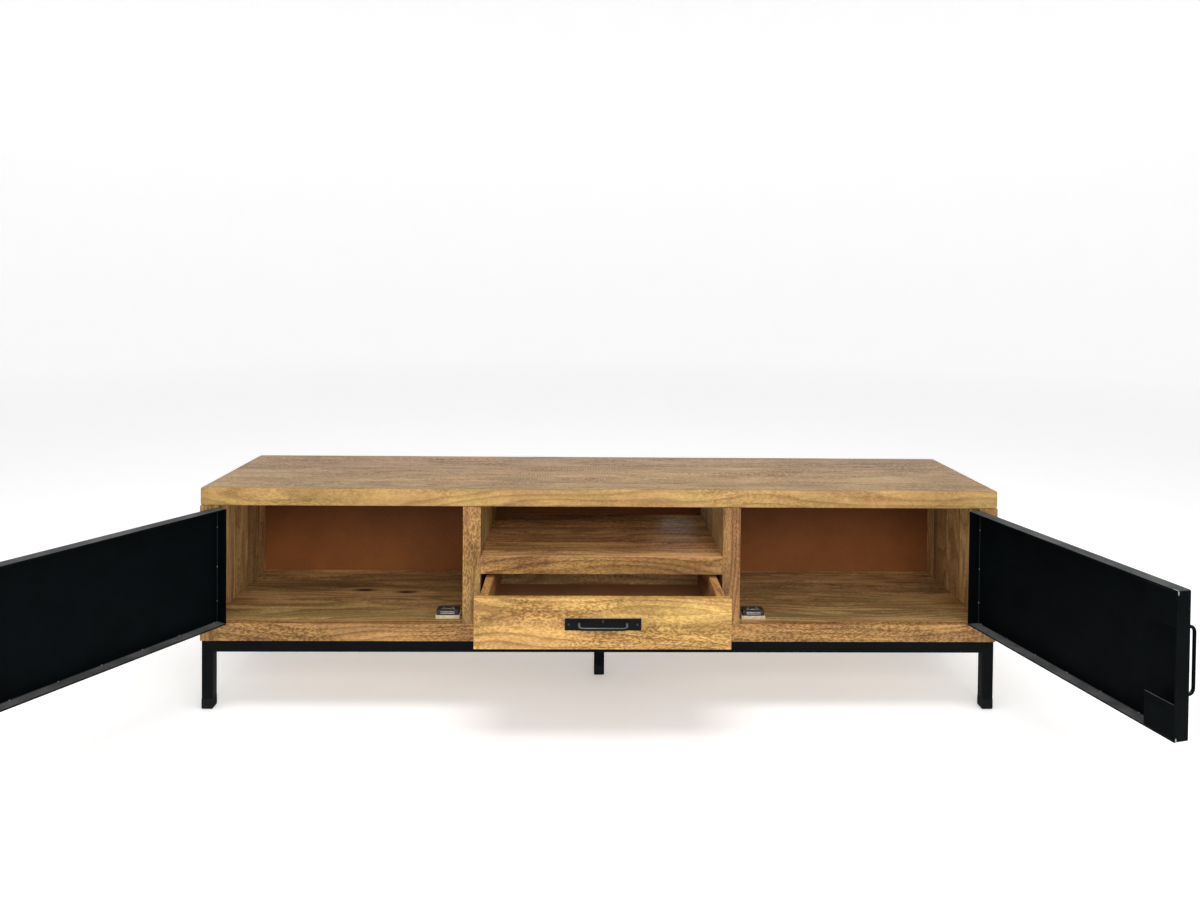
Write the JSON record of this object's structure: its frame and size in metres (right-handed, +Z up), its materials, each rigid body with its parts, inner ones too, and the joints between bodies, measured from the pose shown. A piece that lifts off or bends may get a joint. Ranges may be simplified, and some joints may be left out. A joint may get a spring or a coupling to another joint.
{
  "type": "tv stand with doors",
  "caption": "Long low wooden television stand on a black square-tube steel base, with a steel tray door at each end and a drawer below an open middle shelf.",
  "frame": {"origin": "centre of the underside of the middle foot, on the floor, midway along the width and the depth of the carcass", "axes": "+X along the width towards the right door as seen from the front, +Y from the front to the back, +Z up"},
  "size_m": [2.1607, 0.9137, 0.5],
  "materials": {
    "top_wood": "waxed mango wood, greyish tan, wide boards along the length",
    "frame_wood": "waxed mango wood, warm tan with cathedral grain and small dark flecks",
    "panel_wood": "waxed mango wood boards, olive brown, with knots",
    "drawer_wood": "waxed mango wood, golden",
    "pale_wood": "bare pale softwood",
    "hardboard": "reddish brown hardboard, smooth face",
    "black_steel": "fine satin black powder coat",
    "hinge_steel": "blackened steel",
    "runner_steel": "black coated steel",
    "catch_plastic": "dark brown moulded plastic with bright pole strips",
    "foot_plastic": "black moulded plastic"
  },
  "bodies": {
    "stand": {"front_frame_rail": "black_steel", "back_frame_rail": "black_steel", "left_frame_rail": "black_steel", "centre_frame_rail": "black_steel", "right_frame_rail": "black_steel", "front_left_leg": "black_steel", "front_right_leg": "black_steel", "back_left_leg": "black_steel", "back_right_leg": "black_steel", "centre_leg": "black_steel", "front_left_foot": "foot_plastic", "front_right_foot": "foot_plastic", "back_left_foot": "foot_plastic", "back_right_foot": "foot_plastic", "centre_foot": "foot_plastic", "top_slab": "top_wood", "left_side_stile": "frame_wood", "left_side_panel": "panel_wood", "left_divider_stile": "frame_wood", "left_divider_panel": "panel_wood", "right_side_stile": "frame_wood", "right_side_panel": "panel_wood", "right_divider_stile": "frame_wood", "right_divider_panel": "panel_wood", "bottom_front_rail": "frame_wood", "bottom_panel": "panel_wood", "middle_shelf": "panel_wood", "back_panel": "hardboard", "left_catch_block": "pale_wood", "right_catch_block": "pale_wood", "left_magnetic_catch": "catch_plastic", "right_magnetic_catch": "catch_plastic", "left_lower_hinge_stile_leaf": "hinge_steel", "left_upper_hinge_stile_leaf": "hinge_steel", "right_lower_hinge_stile_leaf": "hinge_steel", "right_upper_hinge_stile_leaf": "hinge_steel", "left_runner_channel": "runner_steel", "right_runner_channel": "runner_steel"},
    "left_door": {"left_door_sheet": "black_steel", "left_door_frame": "black_steel", "left_door_lower_corner_plate": "black_steel", "left_door_upper_corner_plate": "black_steel", "left_door_handle": "black_steel", "left_lower_hinge_door_leaf": "hinge_steel", "left_upper_hinge_door_leaf": "hinge_steel"},
    "right_door": {"right_door_sheet": "black_steel", "right_door_frame": "black_steel", "right_door_lower_corner_plate": "black_steel", "right_door_upper_corner_plate": "black_steel", "right_door_handle": "black_steel", "right_lower_hinge_door_leaf": "hinge_steel", "right_upper_hinge_door_leaf": "hinge_steel"},
    "drawer": {"drawer_front": "drawer_wood", "drawer_left_side": "drawer_wood", "drawer_right_side": "drawer_wood", "drawer_back": "drawer_wood", "drawer_bottom": "hardboard", "drawer_pull": "black_steel", "left_runner_drawer_bar": "runner_steel", "right_runner_drawer_bar": "runner_steel"}
  },
  "joints": [
    {"name": "left_door_hinge", "type": "hinge", "parent": "stand", "child": "left_door", "pos_m": [-0.8585, -0.19, 0.3275], "axis": [0, 0, -1], "range_deg": [-120, 40]},
    {"name": "right_door_hinge", "type": "hinge", "parent": "stand", "child": "right_door", "pos_m": [0.8585, -0.19, 0.3275], "axis": [0, 0, 1], "range_deg": [-103.5, 56.5]},
    {"name": "drawer_slide", "type": "slide", "parent": "stand", "child": "drawer", "axis": [0, -1, 0], "range_m": [-0.148, 0.102]}
  ]
}
